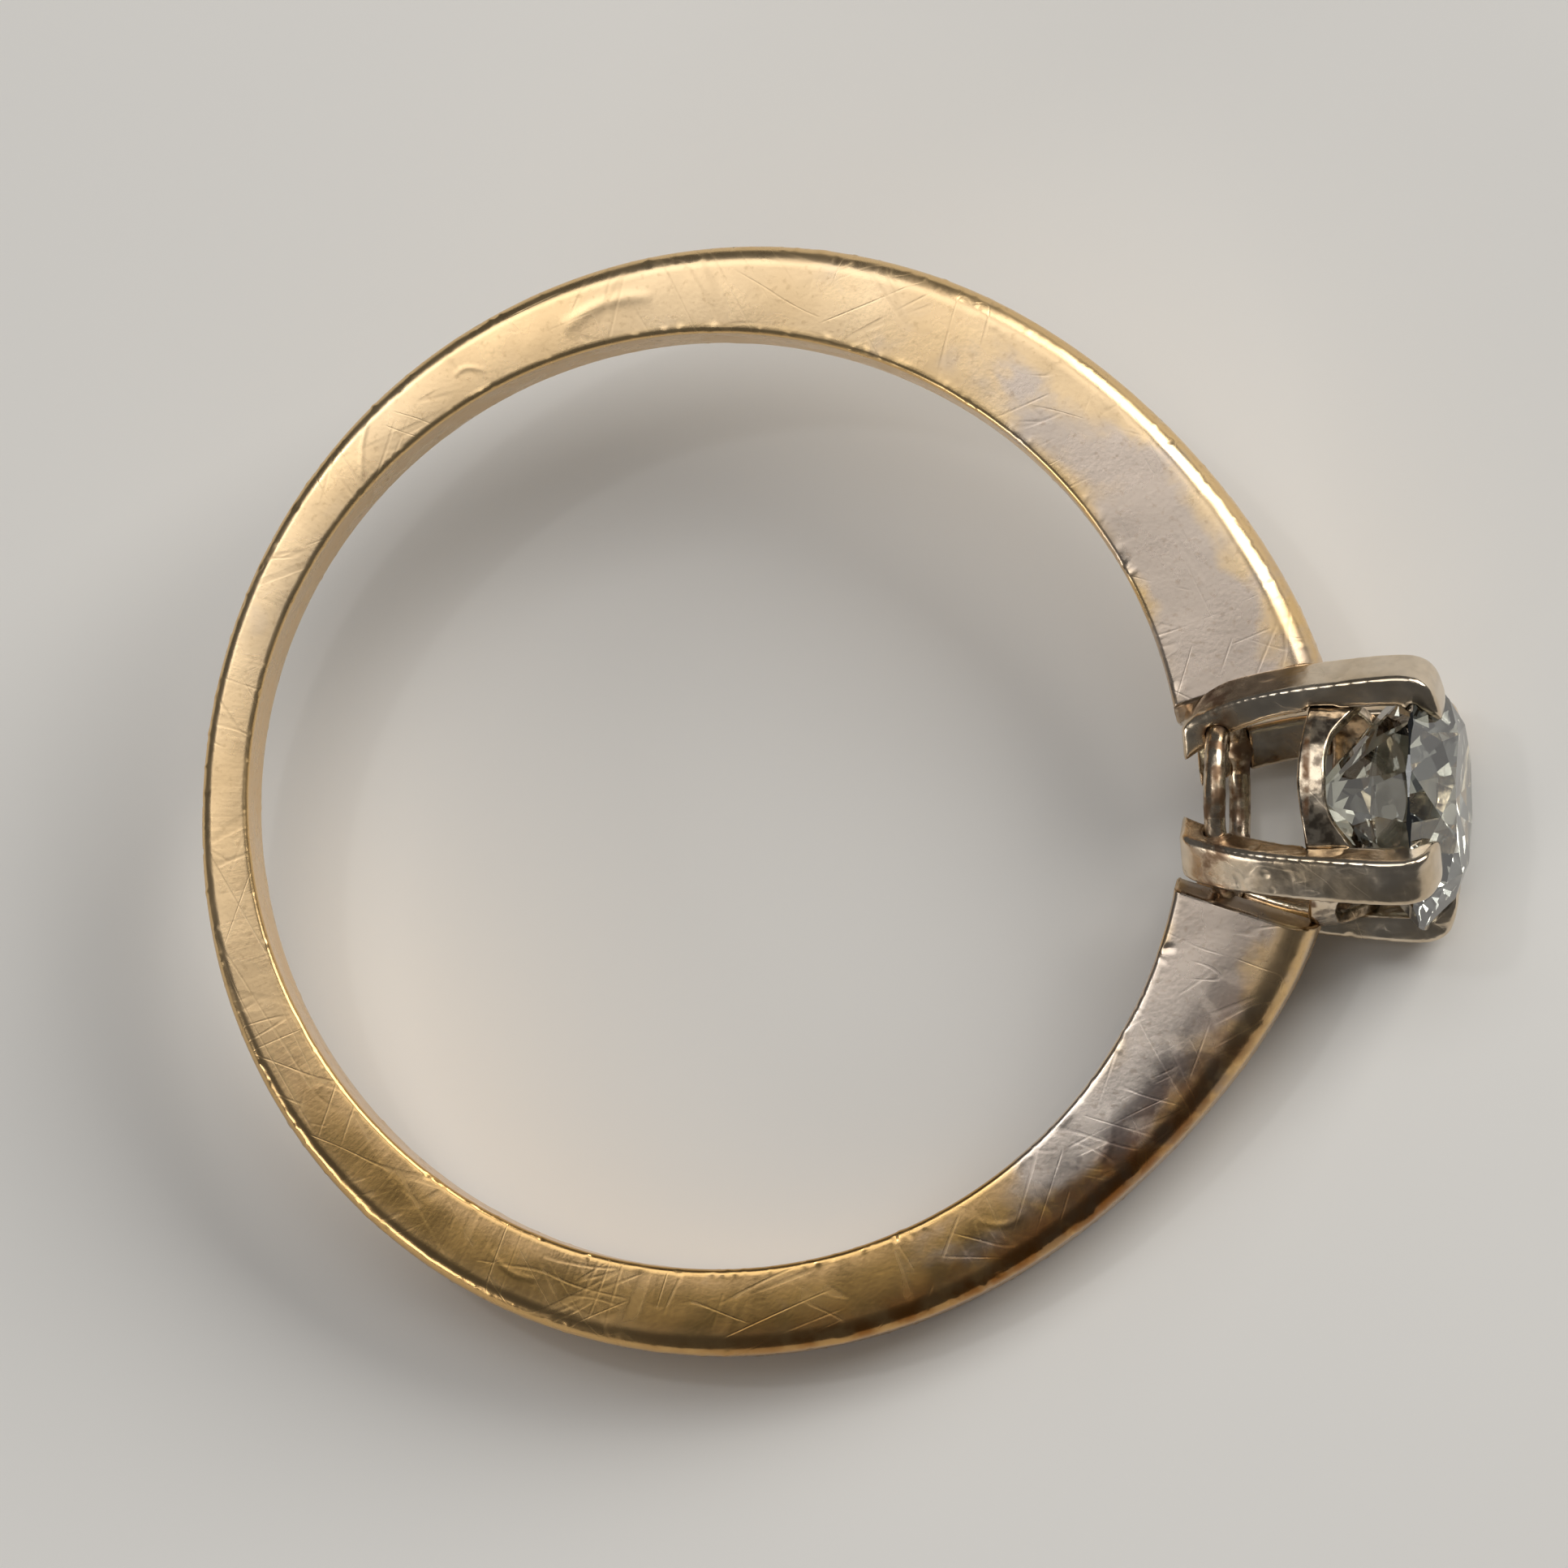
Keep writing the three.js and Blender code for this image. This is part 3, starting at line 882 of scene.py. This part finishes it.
def world_points(piece):
    """Every vertex of a piece in the ring's frame, in millimetres."""
    places = np.zeros(len(piece.data.vertices) * 3, np.float32)
    piece.data.vertices.foreach_get("co", places)
    matrix = np.array(piece.matrix_world)
    return (places.reshape(-1, 3) @ matrix[:3, :3].T + matrix[:3, 3]) / MM


def resting_plane(supports):
    """Point and normal of the plane that three groups of points stand on."""
    normal = np.array((0.0, 0.0, 1.0))
    for _ in range(8):
        feet = [group[np.argmin(group @ normal)] for group in supports]
        normal = np.cross(feet[1] - feet[0], feet[2] - feet[0])
        normal *= np.sign(normal[2]) / np.linalg.norm(normal)
    return Vector(feet[0]), Vector(normal)


def build_floor(shank, left_claw, right_claw):
    """A level surface under the ring, which rests on the back of its band and on
    its two lower claws."""
    back = world_points(shank)
    back = back[back[:, 0] < 0]
    point, normal = resting_plane([back, world_points(left_claw), world_points(right_claw)])
    half = FLOOR_SIZE / 2
    corners = [(-half, -half, 0), (half, -half, 0), (half, half, 0), (-half, half, 0)]
    turn = normal.to_track_quat("Z", "Y").to_matrix().to_4x4()
    place = Matrix.Translation(point * MM) @ turn
    floor = mesh_object("pale_floor", corners, [(0, 1, 2, 3)], place, smooth=False)
    floor.data.materials.append(floor_paint())
    return floor


def softbox(name, place, size, radiance, tint=(1.0, 1.0, 1.0)):
    """Rectangular light that faces the ring. Sizes and places are in millimetres."""
    light = bpy.data.lights.new(name, "AREA")
    light.shape = "RECTANGLE"
    light.size, light.size_y = size[0] * MM, size[1] * MM
    light.energy = radiance * math.pi * light.size * light.size_y
    light.color = tint
    lamp = bpy.data.objects.new(name, light)
    lamp.location = Vector(place) * MM
    lamp.rotation_mode = "QUATERNION"
    lamp.rotation_quaternion = Vector(place).to_track_quat("Z", "Y")
    lamp.visible_camera = False
    bpy.context.scene.collection.objects.link(lamp)
    return lamp


def build_lights():
    softbox("overhead_softbox", (-60, 170, 430), (330, 290), 1.62)
    softbox("right_softbox", (225, 225, 200), (230, 260), 4.6, (1.0, 0.97, 0.92))
    softbox("left_softbox", (-270, -235, 130), (200, 110), 3.8, (1.0, 0.97, 0.92))
    softbox("sparkle_light", (-110, 90, 300), (14, 14), 55)
    world = bpy.data.worlds.new("studio")
    world.use_nodes = True
    background = world.node_tree.nodes["Background"]
    background.inputs["Color"].default_value = (0.95, 0.97, 1.0, 1.0)
    background.inputs["Strength"].default_value = 0.09
    bpy.context.scene.world = world


def build_camera():
    data = bpy.data.cameras.new("above")
    data.sensor_width = SENSOR_WIDTH
    data.lens = SENSOR_WIDTH * CAMERA_DISTANCE / VIEW_WIDTH
    data.clip_start = 10 * MM
    data.clip_end = 5000 * MM
    camera = bpy.data.objects.new("above", data)
    backwards = CAMERA_DIRECTION.normalized()
    right = Vector((0, 1, 0)).cross(backwards).normalized()
    turn = Matrix((right, backwards.cross(right), backwards)).transposed()
    camera.location = (CAMERA_TARGET + backwards * CAMERA_DISTANCE) * MM
    camera.rotation_mode = "QUATERNION"
    camera.rotation_quaternion = turn.to_quaternion()
    bpy.context.scene.collection.objects.link(camera)
    bpy.context.scene.camera = camera
    bpy.context.scene.view_settings.view_transform = "Standard"


# ---------------------------------------------------------------- ring

def stand_in(piece, node, material):
    """The piece is shown in place of the CAD node, in the given material."""
    piece.data.materials.append(material)
    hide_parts(node)
    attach(piece, "root")


def build_ring():
    shank = build_shank()
    stand_in(shank, "shank", yellow_gold())
    claw_metal = white_gold("worn_white_gold", 0.1, LOWER_RAIL_HEIGHT, 0.5)
    claws = {}
    for node in CLAWS:
        claws[node] = build_claw(node)
        stand_in(claws[node], node, claw_metal)
    soldered = white_gold("soldered_white_gold", 0.35, LOWER_RAIL_HEIGHT, 0.9)
    stand_in(build_lower_rail(), "lower_gallery_rail", soldered)
    # Painted dark reflection: the upper gallery band's strong dark mottle, on top of its random
    # tone.
    mottled = white_gold("mottled_white_gold", 0.75, UPPER_RAIL_BOTTOM, 0.1)
    stand_in(build_upper_rail(), "upper_gallery_rail", mottled)
    stand_in(build_diamond(), "diamond", diamond_glass())
    return shank, claws


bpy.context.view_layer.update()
shank, claws = build_ring()
build_floor(shank, claws["claw_left_lower"], claws["claw_right_lower"])
build_lights()
build_camera()
